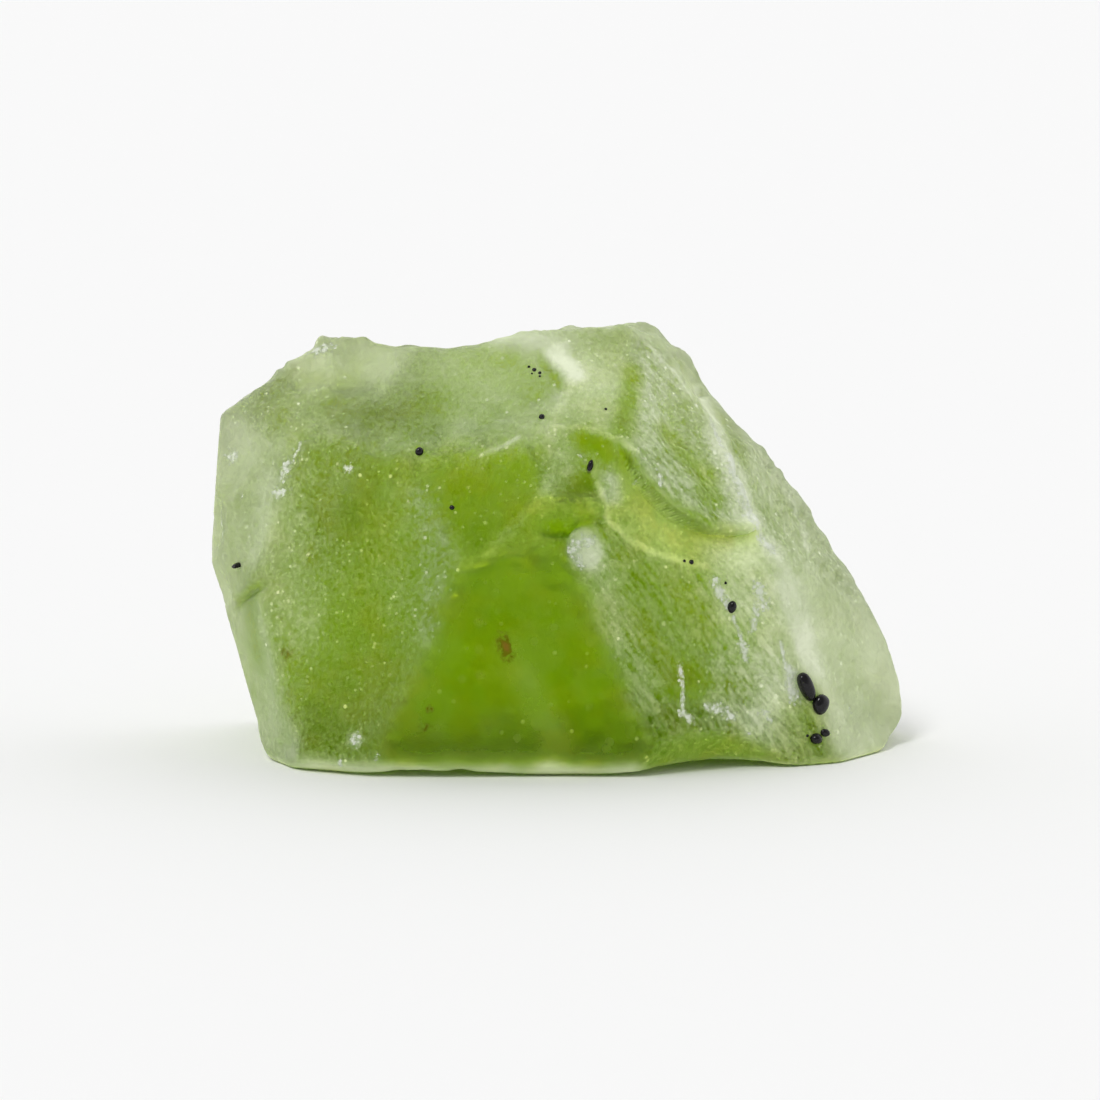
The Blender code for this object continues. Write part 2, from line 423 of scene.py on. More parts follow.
def cut_shares(points, heights):
    """Each cut's share of each point: exp of the height plus a little noise, over the blend's width,
    divided by the row's sum."""
    seeds = WANDER_SEED + np.arange(heights.shape[1])
    wander = np.stack([smooth_noise(points, WANDER_SIZE, seed) for seed in seeds], axis=1)
    wandered = heights + wander * WANDER
    shares = np.exp((wandered - wandered.max(axis=1, keepdims=True)) / FINISH_BLEND)
    return shares / shares.sum(axis=1, keepdims=True)


heights = cut_heights(skin)
shares = cut_shares(skin, heights)
frost, glow, grit = (shares @ FINISH).T
edges = edge_nearness(heights, EDGE_WIDTH)
wide_edges = edge_nearness(heights, WIDE_EDGE_WIDTH)
print("Mean frost", round(float(frost.mean()), 2))

# %% [markdown]
# ## Marks of wear, and painted light and shade
#
# Knocks have crushed the olivine to white powder along a ridge and in small spots. Soft veils of
# haze lie beside some edges, and other places are cleaner than their face. Low folds and grooves run
# where the fracture stepped or cracked. All these could be painted or sculpted onto the mesh. Here
# each mark is a path of points picked on the stone, with a width, so that it has a name and
# can be moved. Its strength falls off smoothly with the distance from the path.
# Not all the marks are wear. The white marks named glint are painted highlights. A few veils are painted
# light and shade: highlights along lit edges, shade under a lip, a fissure and the saddle, and light that
# pales a shaded crease. A pale band along the lowest edge is painted light from the floor.

# %% Name the marks
# Two fine steps on the right face, each a pale line and a low fold
FACE_LINE_TOP = [(2.06, 0.00, 4.21), (2.26, -0.10, 3.92), (2.54, -0.07, 3.67), (2.82, -0.15, 3.27)]
FACE_LINE_MIDDLE = [(2.51, -1.33, 2.44), (2.79, -1.35, 2.14), (3.00, -1.31, 2.00), (3.23, -1.45, 1.65)]

# White crushed marks, and the marks named glint, which are painted highlights: the path's points
# from the heart, and the width in millimetres
BRUISES_AND_GLINTS = {
    "left_dots": ([(-6.14, -0.88, 1.26)], 0.16),
    "trail_top": ([(-5.02, -1.57, 2.45), (-5.16, -1.57, 2.17)], 0.18),
    "trail_foot": ([(-5.28, -1.61, 1.45), (-5.48, -1.58, 1.40)], 0.24),
    "trail_middle": ([(-5.24, -1.57, 2.00), (-5.34, -1.59, 1.75)], 0.26),
    "small_left": ([(-4.00, -2.15, 1.96)], 0.20),
    "rim_upper": ([(-6.42, -0.05, 1.98)], 0.34),
    "rim_lower": ([(-6.67, -0.24, 0.48)], 0.34),
    "round_left": ([(-3.85, -3.35, -3.28)], 0.26),
    "foot_one": ([(-4.15, -3.27, -3.75)], 0.14),
    "foot_two": ([(-3.45, -3.60, -3.63)], 0.16),
    "foot_three": ([(-3.45, -3.60, -3.20)], 0.10),
    "corner_chip": ([(-4.85, 0.35, 4.07), (-4.40, 0.20, 4.10)], 0.25),
    "hollow_glint": ([(1.62, -2.26, 1.66)], 0.10),
    "grain_glint": ([(0.62, -2.40, 2.24)], 0.16),
    "front_spot": ([(0.48, -3.42, 0.52), (0.78, -3.34, 0.66)], 0.26),
    "front_spot_foot": ([(0.60, -3.44, 0.22), (0.62, -3.42, 0.50)], 0.20),
    "knob_glint": ([(2.18, -2.33, 1.82), (2.19, -2.47, 1.68)], 0.12),
    "face_glint": ([(2.10, -2.25, 1.98)], 0.10),
    "ridge_top": ([(3.27, -0.13, 2.70), (3.46, -0.50, 2.24)], 0.16),
    "ridge_middle": ([(3.60, -0.60, 1.98), (3.74, -0.85, 1.62), (3.80, -1.05, 1.45)], 0.30),
    "ridge_foot": ([(4.30, -1.52, 0.52), (4.50, -1.50, 0.31)], 0.28),
    "ridge_line": ([(3.60, 0.90, 2.66), (3.70, 1.00, 2.42)], 0.08),
    "ridge_low": ([(3.80, -1.10, 1.30), (4.10, -1.45, 0.80)], 0.30),
    "streak_top": ([(3.29, -2.38, -0.27), (3.41, -2.38, -0.55), (3.53, -2.34, -0.72)], 0.20),
    "streak_long": ([(3.65, -2.35, -0.99), (3.80, -2.33, -1.40)], 0.11),
    "streak_end": ([(3.84, -2.34, -1.50), (3.88, -2.35, -1.80)], 0.18),
    "streak_right": ([(4.12, -2.02, -0.42), (4.28, -2.01, -0.78)], 0.24),
    "streak_right_foot": ([(4.12, -2.08, -0.80), (4.02, -2.22, -1.25)], 0.16),
    "streak_pair": ([(4.62, -2.03, -1.55), (4.72, -2.06, -2.10)], 0.13),
    "streak_foot": ([(2.57, -3.03, -1.85), (2.60, -3.08, -2.20), (2.65, -3.17, -2.79)], 0.12),
    "streak_foot_end": ([(2.65, -3.17, -2.79), (2.79, -3.14, -2.93)], 0.20),
    "pair_rim": ([(4.80, -2.02, -2.12), (4.82, -2.06, -2.40), (4.90, -2.08, -2.66)], 0.24),
    "toe_glint": ([(3.20, -2.85, -2.72), (3.41, -2.73, -2.76), (3.62, -2.66, -2.90)], 0.24),
    "toe_glint_right": ([(4.34, -2.41, -2.96)], 0.24),
    "toe_dots": ([(3.91, -2.68, -3.28)], 0.15),
    "end_spot": ([(5.95, -1.15, -2.95), (6.05, -1.10, -3.10)], 0.10),
    "back_rib": ([(-2.45, 3.72, 1.60), (-2.60, 3.80, 0.90)], 0.24),
    "back_foot": ([(1.58, 3.38, -2.15), (2.10, 3.35, -2.40)], 0.20),
    "back_corner": ([(-6.13, 2.86, 0.00), (-6.20, 2.90, -0.60)], 0.30),
    "back_crest": ([(0.57, 3.21, 3.26), (1.10, 3.15, 3.28)], 0.16),
}

# Soft patches: the path, the width, and how much they add to the frost and to the glow
VEILS = {
    "left_haze": ([(-2.46, -2.93, 1.44), (-2.25, -3.30, 0.65), (-2.35, -3.55, -1.00)], 0.45, -0.01, -0.55),
    "left_fade": ([(-5.42, -1.59, 1.47), (-5.38, -1.91, 0.11), (-5.21, -2.24, -1.05)], 0.90, 0.14, -0.15),
    "left_clear": ([(-4.35, -2.95, -2.60), (-3.60, -3.00, -1.60)], 1.10, -0.05, 0.20),
    "left_streak": ([(-3.36, -2.45, 1.98), (-3.64, -2.43, 1.48), (-3.90, -2.41, 0.98)], 0.50, -0.05, 0.20),
    "left_warm": ([(-3.30, -2.70, 0.80), (-3.60, -2.75, 0.00), (-3.80, -2.80, -0.80)], 0.80, 0.03, 0.25),
    "round_left": ([(-3.85, -3.35, -3.28)], 0.20, 0.45, -0.60),
    "upper_fade": ([(-4.99, -1.20, 2.83), (-5.60, -1.20, 2.30)], 0.80, 0.06, 0.00),
    "strip_clear": (
        [(-6.00, -1.45, -0.57), (-5.97, -1.39, -1.18), (-5.89, -1.46, -1.68)], 0.60, -0.16, 0.30,
    ),
    "fissure_shade": (
        [(-6.40, -0.70, -0.98), (-6.10, -1.20, -0.76), (-5.90, -1.60, -0.60)], 0.16, -0.20, 0.60,
    ),
    "grey_blotch": ([(-5.54, -0.99, 2.72)], 0.40, -0.15, 0.00),
    "corner_pale": ([(-4.85, 0.35, 4.07), (-3.32, -0.29, 3.94)], 0.70, 0.16, 0.00),
    "shoulder_clear": (
        [(-4.20, -1.20, 3.10), (-3.40, -1.50, 3.00), (-2.60, -1.60, 3.10)], 0.90, -0.12, 0.20,
    ),
    "scratch": ([(-1.36, -2.59, 2.30), (-0.99, -2.55, 2.45), (-0.63, -2.40, 2.63)], 0.07, 0.30, -0.20),
    "brow_line": ([(0.00, -2.84, 1.87), (-0.29, -3.16, 1.37), (-1.18, -3.51, 0.53)], 0.14, 0.16, -0.10),
    "brow_soft": ([(-2.60, -2.60, 2.20), (-1.60, -2.55, 2.35), (-0.60, -2.45, 2.55)], 0.55, 0.08, 0.10),
    "brow_left": ([(-2.66, -2.60, 2.10), (-2.30, -3.10, 1.10)], 0.35, 0.04, 0.00),
    "knee_haze": ([(-1.57, -3.57, 0.34), (-0.98, -3.48, 0.63), (-0.20, -3.45, 0.82)], 0.26, 0.09, 0.10),
    "knee_edge": ([(-1.80, -3.59, 0.20), (-1.15, -3.50, 0.52)], 0.14, 0.14, 0.20),
    "lip_glow": ([(-0.20, -3.20, 1.25), (0.29, -3.20, 1.33), (0.79, -3.10, 1.33)], 0.34, 0.16, 0.50),
    "lip_shadow": ([(-0.04, -3.42, 0.93), (0.39, -3.43, 0.95), (0.79, -3.28, 1.08)], 0.16, -0.16, 0.20),
    "hollow_clear": ([(0.38, -2.98, 1.62), (0.72, -2.70, 1.70)], 0.40, -0.18, 0.20),
    "hollow_pale": ([(0.12, -2.32, 2.60), (0.24, -2.62, 2.00), (0.00, -3.00, 1.62)], 0.40, 0.20, -0.10),
    # Painted shade in the crease under the saddle's lit lower edge: less frost leaves it darker green.
    "shade_under_saddle": ([(0.75, -2.22, 2.60), (1.07, -2.20, 2.45), (1.40, -2.27, 2.15)], 0.35, -0.20, 0.20),
    "window_veil": (
        [(-0.79, -3.60, -1.44), (-0.39, -3.60, -2.24), (0.10, -3.60, -3.23)], 0.40, 0.07, -0.10,
    ),
    "window_cloud": (
        [(-2.36, -3.60, -2.74), (-1.57, -3.60, -3.03), (-0.79, -3.60, -2.93)], 0.70, 0.02, 0.20,
    ),
    "window_low": ([(-2.80, -3.60, -3.55), (-1.00, -3.60, -3.55), (0.80, -3.60, -3.55)], 0.50, 0.01, 0.20),
    "right_edge": (
        [(0.90, -3.40, 0.31), (1.22, -3.48, -0.47), (1.50, -3.52, -1.45), (1.85, -3.50, -2.44)],
        0.50, 0.14, -0.20,
    ),
    "right_pale": ([(3.88, -2.18, -0.50), (4.60, -2.00, -0.90), (4.75, -2.05, -1.90)], 1.00, 0.42, -0.40),
    "right_low_pale": (
        [(3.40, -2.75, -2.70), (4.30, -2.40, -2.85), (4.70, -2.20, -2.70)], 0.45, 0.22, -0.10,
    ),
    # Painted highlight along the crescent's lit lower rim.
    "crescent_rim": (
        [(0.95, -2.70, 1.75), (1.22, -3.08, 1.05), (2.01, -2.83, 0.42), (3.07, -2.40, 0.08)],
        0.10, 0.45, 0.00,
    ),
    # Painted highlight on the crescent's bright tip.
    "crescent_tip": ([(0.87, -2.45, 1.98), (1.00, -2.75, 1.60)], 0.12, 0.20, 0.10),
    "crescent_pale": ([(1.22, -2.60, 1.80), (1.25, -2.75, 1.55)], 0.28, 0.14, -0.60),
    "crescent_end": ([(3.30, -2.20, 0.35), (3.90, -1.80, 0.25)], 0.45, 0.06, -0.30),
    # Painted light: pale frost over the shaded crease at the end of the knob wall.
    "wall_fade": ([(3.20, -2.06, 0.76), (3.74, -1.83, 0.68), (4.05, -1.60, 0.72)], 0.30, 0.28, 0.20),
    # Painted highlight along the saddle's lit lower edge, over the low fold of the same name.
    "saddle_rim": (
        [(0.10, -2.26, 2.80), (0.49, -2.15, 2.80), (0.99, -2.10, 2.71), (1.43, -2.18, 2.52),
         (1.72, -2.28, 2.32)], 0.08, 0.40, 0.10,
    ),
    "saddle_left": ([(0.40, -1.28, 3.60), (0.20, -1.78, 3.20), (0.10, -2.25, 2.84)], 0.12, 0.14, 0.05),
    "saddle_stripe": ([(1.68, -0.80, 3.75), (1.62, -1.30, 3.35), (1.50, -2.00, 2.82)], 0.30, -0.28, 0.45),
    "saddle_pale": ([(0.60, -1.30, 3.50), (0.70, -1.80, 3.05)], 0.50, 0.06, 0.00),
    "crown_glow": ([(0.12, -0.66, 4.14), (0.32, -0.90, 3.96), (0.50, -1.12, 3.72)], 0.26, 0.44, -0.20),
    "crown_pale": ([(0.10, -0.70, 4.15), (0.90, -1.02, 3.77)], 0.80, 0.20, -0.10),
    "crown_edge": ([(-0.90, -0.30, 4.30), (-0.20, -0.39, 4.35), (0.10, -0.60, 4.20)], 0.35, 0.30, -0.10),
    "crown_border": (
        [(-0.22, -0.66, 4.12), (-0.08, -0.94, 3.93), (0.08, -1.21, 3.72), (0.24, -1.41, 3.50)],
        0.15, -0.24, 0.05,
    ),
    "face_line_top": (FACE_LINE_TOP, 0.08, 0.35, 0.00),
    "face_line_middle": (FACE_LINE_MIDDLE, 0.08, 0.30, 0.00),
    "face_green": (
        [(2.41, -1.30, 2.58), (2.79, -1.43, 2.09), (3.13, -1.41, 1.79), (3.16, -1.75, 1.43)],
        0.42, -0.16, 0.60,
    ),
    "face_white_top": ([(2.06, -0.30, 4.05), (2.00, -0.90, 3.55), (2.05, -1.30, 3.10)], 0.60, 0.10, -0.10),
    "ridge_band": (
        [(3.25, 0.90, 3.00), (3.40, -0.40, 2.35), (3.71, -0.74, 1.76), (3.90, -1.32, 1.13),
         (4.50, -1.50, 0.31)], 0.42, 0.34, -0.10,
    ),
    "ridge_green": ([(3.61, 1.19, 2.55), (3.74, 0.23, 2.29), (3.88, -0.01, 1.98)], 0.40, -0.16, 0.15),
    "slope_pale": ([(4.12, 0.01, 1.67), (4.35, -0.20, 1.30)], 0.50, 0.14, -0.05),
    "slope_line": ([(4.88, 0.66, 1.05), (5.12, 0.43, 0.61), (5.20, -0.20, 0.15)], 0.20, 0.16, -0.05),
    "striae_clear": ([(2.80, -3.05, -2.10), (3.10, -2.80, -2.45)], 0.50, -0.12, 0.20),
    "striae_pale": ([(4.17, -2.54, -3.22), (4.60, -2.40, -3.35)], 0.50, 0.25, -0.20),
    "pair_halo": ([(4.82, -2.02, -2.14), (4.84, -2.05, -2.50)], 0.16, 0.20, -0.60),
    "toe_clear": (
        [(2.58, -2.95, -3.59), (3.38, -2.57, -3.62), (4.18, -2.40, -3.79), (4.90, -2.20, -3.75)],
        0.40, 0.10, 0.00,
    ),
    "back_left_pale": ([(-4.75, 2.22, 3.03), (-6.13, 2.86, 0.00), (-6.30, 2.94, -1.86)], 0.60, 0.25, -0.20),
    "back_rib_pale": (
        [(-2.58, 3.69, 2.60), (-2.45, 3.75, 1.00), (-2.68, 3.82, 0.00), (-2.56, 3.66, -1.20)],
        0.35, 0.22, -0.20,
    ),
    "back_clear": ([(-4.26, 3.58, -1.49), (-4.11, 3.45, -2.80)], 0.80, -0.16, 0.20),
    "dark_cluster": (
        [(-0.70, -0.86, 3.90), (-0.40, -1.11, 3.72), (-0.20, -1.46, 3.46)], 0.55, -0.10, -0.40,
    ),
}

# Folds: the path, the width, and the height in millimetres, below zero for a groove
FOLDS = {
    "left_step": ([(-6.09, -0.30, 3.13), (-6.09, 0.30, 3.13)], 0.16, -0.050),
    "foot_corner": ([(-5.85, -0.90, -3.70), (-5.78, -1.60, -3.80)], 0.45, 0.060),
    "fissure": (
        [(-6.50, -0.55, -0.98), (-6.23, -0.94, -0.80), (-5.95, -1.50, -0.58), (-5.74, -1.86, -0.40)],
        0.15, -0.130,
    ),
    "fissure_lip": ([(-6.62, -0.60, -0.40), (-6.62, 0.00, -0.35)], 0.45, 0.100),
    "corner_step": ([(-4.89, 0.20, 4.11), (-4.89, 0.70, 4.15)], 0.14, -0.050),
    "corner_step_low": ([(-5.44, 0.00, 3.72), (-5.44, 0.60, 3.75)], 0.14, -0.050),
    "ear": ([(-4.66, 0.30, 4.30), (-4.66, 0.80, 4.30)], 0.20, 0.070),
    "ear_dip": ([(-4.38, 0.10, 4.26), (-4.38, 0.70, 4.30)], 0.20, -0.060),
    "top_bump": ([(-3.75, -0.05, 4.35), (-3.75, 0.50, 4.45)], 0.22, 0.050),
    "lip": ([(-0.20, -3.23, 1.22), (0.29, -3.23, 1.28), (0.75, -3.12, 1.30)], 0.42, 0.130),
    "lip_groove": (
        [(-0.04, -3.42, 0.90), (0.39, -3.43, 0.92), (0.79, -3.28, 1.05), (1.02, -3.16, 1.15)],
        0.20, -0.090,
    ),
    "wall_fill": ([(3.25, -2.04, 0.75), (3.74, -1.83, 0.68), (4.05, -1.60, 0.72)], 0.36, 0.090),
    "knob_lip": ([(3.70, -1.65, 0.95), (4.05, -1.45, 0.90)], 0.30, -0.070),
    "saddle_rim": (
        [(0.04, -2.27, 2.79), (0.49, -2.15, 2.80), (0.99, -2.10, 2.71), (1.43, -2.18, 2.52),
         (1.72, -2.28, 2.32)], 0.13, 0.045,
    ),
    "crown_peak": ([(1.95, 0.30, 4.50), (1.82, 1.00, 4.55)], 0.55, -0.110),
    "crown_left": ([(-1.60, -0.30, 4.15), (-1.00, -0.30, 4.30), (-0.60, -0.20, 4.36)], 0.60, 0.080),
    "face_line_top": (FACE_LINE_TOP, 0.10, 0.030),
    "face_line_middle": (FACE_LINE_MIDDLE, 0.10, 0.030),
    "ridge_scar": (
        [(3.46, -0.50, 2.24), (3.67, -0.82, 1.77), (3.90, -1.22, 1.22), (4.19, -1.52, 0.65)], 0.24, 0.050,
    ),
    "ridge_groove": ([(3.75, -0.30, 2.20), (4.00, -0.70, 1.70), (4.30, -1.00, 1.10)], 0.22, -0.060),
    "notch_ridge": ([(2.95, 0.80, 3.05), (3.18, 1.40, 3.10)], 0.14, -0.090),
    "notch_slope": ([(4.50, 0.70, 1.62), (4.70, 1.30, 1.66)], 0.12, -0.070),
    "notch_low": ([(5.10, 0.40, 0.66), (5.27, 1.10, 0.72)], 0.14, -0.080),
    "notch_crest": ([(2.60, 0.80, 3.88), (2.72, 1.40, 3.88)], 0.12, -0.050),
    "notch_middle": ([(2.95, 1.00, 3.36), (3.05, 1.70, 3.32)], 0.12, -0.050),
    "streak": ([(3.38, -2.35, -0.33), (3.66, -2.33, -0.92), (3.95, -2.31, -1.86)], 0.10, -0.030),
    "streak_pair": ([(4.67, -1.98, -1.45), (4.83, -2.03, -2.20)], 0.10, -0.030),
    "striae_step": ([(2.62, -3.13, -2.00), (2.66, -3.14, -2.80), (2.90, -3.08, -3.00)], 0.16, 0.040),
    "back_step": (
        [(1.40, 3.05, 2.60), (0.55, 3.11, 0.85), (0.57, 3.25, -0.88), (1.58, 3.38, -2.15)], 0.30, 0.070,
    ),
    "back_step_groove": (
        [(1.85, 3.10, 2.30), (0.98, 3.14, 0.75), (1.02, 3.25, -0.80), (1.90, 3.30, -1.80)], 0.26, -0.060,
    ),
    "back_hackle": ([(-0.80, 3.30, 2.40), (-1.21, 3.34, 0.95), (-1.28, 3.53, -1.01)], 0.22, 0.050),
    "back_crack": (
        [(-3.75, 3.14, 2.40), (-3.62, 3.04, 1.27), (-4.30, 3.30, -0.20), (-4.26, 3.58, -1.49)],
        0.18, -0.080,
    ),
    "back_nick": ([(3.56, 2.49, 1.16), (4.26, 2.98, 0.00), (4.70, 3.10, -0.60)], 0.24, -0.070),
}

# Brown inclusions close under the skin: the path, the width and the strength
STAINS = {
    "left_fleck": ([(-5.20, -2.30, -1.70)], 0.30, 0.22),
    "window_spot": ([(-0.89, -3.60, -1.32), (-0.86, -3.60, -1.44)], 0.15, 0.85),
    "window_spot_halo": ([(-0.95, -3.60, -1.20), (-0.84, -3.60, -1.55)], 0.26, 0.28),
    "window_fleck": ([(-2.36, -3.60, -2.62)], 0.14, 0.30),
    "window_fleck_low": ([(-2.45, -3.60, -3.00)], 0.24, 0.20),
}
print(len(BRUISES_AND_GLINTS), "bruises,", len(VEILS), "veils,", len(FOLDS), "folds and", len(STAINS), "stains")

# %% Lay the marks on the skin
VEIL_SOFTNESS = 1.3
FLOOR_LIGHT_HEIGHT = 0.14
FLOOR_LIGHT_FROST = 0.5
FLAT_ENOUGH = 0.98
BASE_DEPTH = FACES["base"][2]


def path_distance(points, path):
    """Distance to a path: to the nearest point of each straight run, or to its only point."""
    stops = np.array(path)
    nearest = np.linalg.norm(points - stops[0], axis=1)
    for start, end in zip(stops[:-1], stops[1:]):
        run = end - start
        along = np.clip((points - start) @ run / (run @ run), 0.0, 1.0)
        nearest = np.minimum(nearest, np.linalg.norm(points - start - along[:, None] * run, axis=1))
    return nearest


def falloff(points, path, width):
    """1 on the path, falling smoothly to 0 at the width: (1 - (distance / width)^2)^2."""
    share = np.clip(path_distance(points, path) / width, 0.0, 1.0)
    return (1.0 - share**2) ** 2


bruise = np.max([falloff(skin, path, width) for path, width in BRUISES_AND_GLINTS.values()], axis=0)
stain = np.max([falloff(skin, path, width) * amount for path, width, amount in STAINS.values()], axis=0)
folds = sum(falloff(skin, path, width) * height for path, width, height in FOLDS.values())
for path, width, more_frost, more_glow in VEILS.values():
    strength = falloff(skin, path, width * VEIL_SOFTNESS)
    frost += strength * more_frost
    glow += strength * more_glow
above_base = skin[:, 2] + BASE_DEPTH
# A pale band along the lowest edge of the side faces is painted light from the floor below: frost is added
# within a small height of the base.
floor_light_rim = np.clip(1.0 - above_base / FLOOR_LIGHT_HEIGHT, 0.0, 1.0) * (np.abs(normals[:, 2]) < FLAT_ENOUGH)
frost = np.clip(frost + floor_light_rim * FLOOR_LIGHT_FROST, 0.0, 1.0)
glow = np.clip(glow, 0.0, 1.0)
print("Folds from", round(float(folds.min()), 3), "to", round(float(folds.max()), 3), "mm")

# %% Carve the relief into the stone
# Each kind of relief: the size of its noise and its height in millimetres, and its seed
RELIEF = {
    "waves": (1.6, 0.026, 11),
    "pits": (0.18, 0.006, 21),
    "nibbles": (0.30, 0.070, 31),
    "chips": (0.85, 0.154, 35),
    "crushed_and_glints": (0.20, 0.045, 41),
    "ripples": (0.20, 0.030, 51),
}
SMOOTHEST_PITS = 0.1
CHIPS_FROM = 0.1
RIPPLE_CREST = 0.35
RIPPLE_RUN = np.array([0.64, -0.20, -0.74])
RIPPLE_STRETCH = 3.5
RIPPLED = (
    "front_right", "right_face", "striae", "back_left", "back_left_bowl", "back_right_bowl", "back_low",
)
BASE_FADE = 0.25


def stretch(points, run, factor):
    """Points drawn together along a direction by a factor, so that noise read there runs along it."""
    run = run / np.linalg.norm(run)
    return points - np.outer(points @ run, run) * (1.0 - 1.0 / factor)


def relief_noise(kind, points):
    """Rough noise of one kind, and its height."""
    size, height, seed = RELIEF[kind]
    return rough_noise(points, size, seed), height


def bumps(kind, points, least=0.0):
    """Only the humps of the noise: what stands above the least value, times its height."""
    noise, height = relief_noise(kind, points)
    return np.clip(noise - least, 0.0, 1.0) * height


def rolls(kind, points):
    """Both humps and hollows: the noise times its height."""
    noise, height = relief_noise(kind, points)
    return noise * height


def crests(kind, points):
    """Sharp crests: a constant minus the size of the noise, which peaks where the noise crosses zero."""
    noise, height = relief_noise(kind, points)
    return (RIPPLE_CREST - np.abs(noise)) * height


cut_names = [*FACES, *SCOOPS]
ripple = shares[:, [cut_names.index(name) for name in RIPPLED]].sum(axis=1)
waves = rolls("waves", skin)
pits = rolls("pits", skin) * (SMOOTHEST_PITS + (1.0 - SMOOTHEST_PITS) * grit)
nibbles = bumps("nibbles", skin) * edges + bumps("chips", skin, CHIPS_FROM) * wide_edges
crushed_and_glints = rolls("crushed_and_glints", skin) * bruise
ripples = crests("ripples", stretch(skin, RIPPLE_RUN, RIPPLE_STRETCH)) * ripple
relief = (waves + pits - nibbles + crushed_and_glints + ripples + folds) * np.clip(above_base / BASE_FADE, 0.0, 1.0)
carved = skin + normals * relief[:, None]
carved[:, 2] = np.maximum(carved[:, 2], -BASE_DEPTH)
print("Relief from", round(float(relief.min()), 3), "to", round(float(relief.max()), 3), "mm")

# %% [markdown]
# The finished points become a mesh. A few numbers travel with every point, for the material to read:
# its frost, glow and grit, how near an edge it is, and how rippled, bruised or stained it is. A
# painted picture could carry them too, but numbers on the points need no unwrapping and have no seam.

# %% Build the stone's mesh
def make_mesh(name, points, faces):
    """A smooth mesh object from points in millimetres from the heart."""
    mesh = bpy.data.meshes.new(name)
    mesh.vertices.add(len(points))
    mesh.vertices.foreach_set("co", ((points + HEART) * MM).astype(np.float32).ravel())
    mesh.loops.add(faces.size)
    mesh.loops.foreach_set("vertex_index", faces.astype(np.int32).ravel())
    mesh.polygons.add(len(faces))
    sides = faces.shape[1]
    mesh.polygons.foreach_set("loop_start", np.arange(0, faces.size, sides, dtype=np.int32))
    mesh.polygons.foreach_set("use_smooth", np.full(len(faces), True))
    mesh.update(calc_edges=True)
    mesh.validate()
    piece = bpy.data.objects.new(name, mesh)
    bpy.context.scene.collection.objects.link(piece)
    return piece


def give_attribute(piece, name, values):
    """Store one number a point on the mesh."""
    attribute = piece.data.attributes.new(name, "FLOAT", "POINT")
    attribute.data.foreach_set("value", values.astype(np.float32))


stone = make_mesh("peridot_skin", carved, quads)
numbers = {
    "frost": frost, "glow": glow, "grit": grit, "edge": edges,
    "ripple": ripple, "bruise": bruise, "stain": stain,
}
for name, values in numbers.items():
    give_attribute(stone, name, values)
print("Stone mesh:", len(stone.data.vertices), "vertices")

# %% [markdown]
# ## The peridot material
#
# Clear peridot bends light strongly (IOR 1.67) and soaks up blue and red with depth, so thick parts
# look deep green and thin parts pale. A green surface could imitate that from one side, but only
# volume absorption gets thin edges and thick middles right from all sides. So the body is clear, and
# its skin only decides how sharp the view inside is. Frosted skin is rougher, and scatters a share of
# the light back as pale haze instead of letting it through.

# %% Write small node helpers
def math_node(tree, operation, *values):
    """A Math node fed by sockets or plain numbers, clamped if the operation ends in an exclamation."""
    node = tree.nodes.new("ShaderNodeMath")
    node.operation = operation.rstrip("!")
    node.use_clamp = operation.endswith("!")
    for socket, value in zip(node.inputs, values):
        if isinstance(value, (int, float)):
            socket.default_value = value
        else:
            tree.links.new(value, socket)
    return node.outputs[0]


def times(tree, first, second):
    """The first value times the second."""
    return math_node(tree, "MULTIPLY", first, second)


def remap(tree, value, old, new, smooth=False):
    """Map Range: the value is carried from its old range to a new one, and clamped."""
    node = tree.nodes.new("ShaderNodeMapRange")
    node.interpolation_type = "SMOOTHSTEP" if smooth else "LINEAR"
    set_ranges(node, old, new)
    tree.links.new(value, node.inputs["Value"])
    return node.outputs["Result"]


def mix_colour(tree, share, first, second):
    """Mix two colours, each a socket or three numbers, by a share."""
    node = tree.nodes.new("ShaderNodeMix")
    node.data_type = "RGBA"
    tree.links.new(share, node.inputs["Factor"])
    for socket, value in zip((node.inputs[6], node.inputs[7]), (first, second)):
        if isinstance(value, tuple):
            socket.default_value = (*value, 1.0)
        else:
            tree.links.new(value, socket)
    return node.outputs[2]


def read_number(tree, name):
    """The socket of a number stored on the mesh."""
    node = tree.nodes.new("ShaderNodeAttribute")
    node.attribute_name = name
    return node.outputs["Fac"]


def grain_noise(tree, place, size, detail=3.0, roughness=0.5):
    """A Noise texture at a place on the object, its main feature size given in millimetres."""
    node = tree.nodes.new("ShaderNodeTexNoise")
    node.inputs["Scale"].default_value = 1.0 / (size * MM)
    node.inputs["Detail"].default_value = detail
    node.inputs["Roughness"].default_value = roughness
    tree.links.new(place, node.inputs["Vector"])
    return node.outputs["Fac"]


def ranged_noise(tree, place, noise):
    """Noise given by its size, its detail, the span of it that is read, and what that span becomes."""
    size, detail, span, change = noise
    return remap(tree, grain_noise(tree, place, size, detail), span, change)


print("Node helpers are ready")

# %% [markdown]
# Under a lens the frost isn't an even coat. It is made of fine grains and larger blotches, and some
# fractures carry crinkles: fine parallel steps that run one way. A picture of frost could be wrapped
# round the stone, but it would blur close up and show its seams. Noise at the object's own
# coordinates has neither fault. The crinkles are the same noise, read in coordinates that are drawn
# out along one line. Grains and crinkles only eat into a thin frost, so that pale faces stay calm.

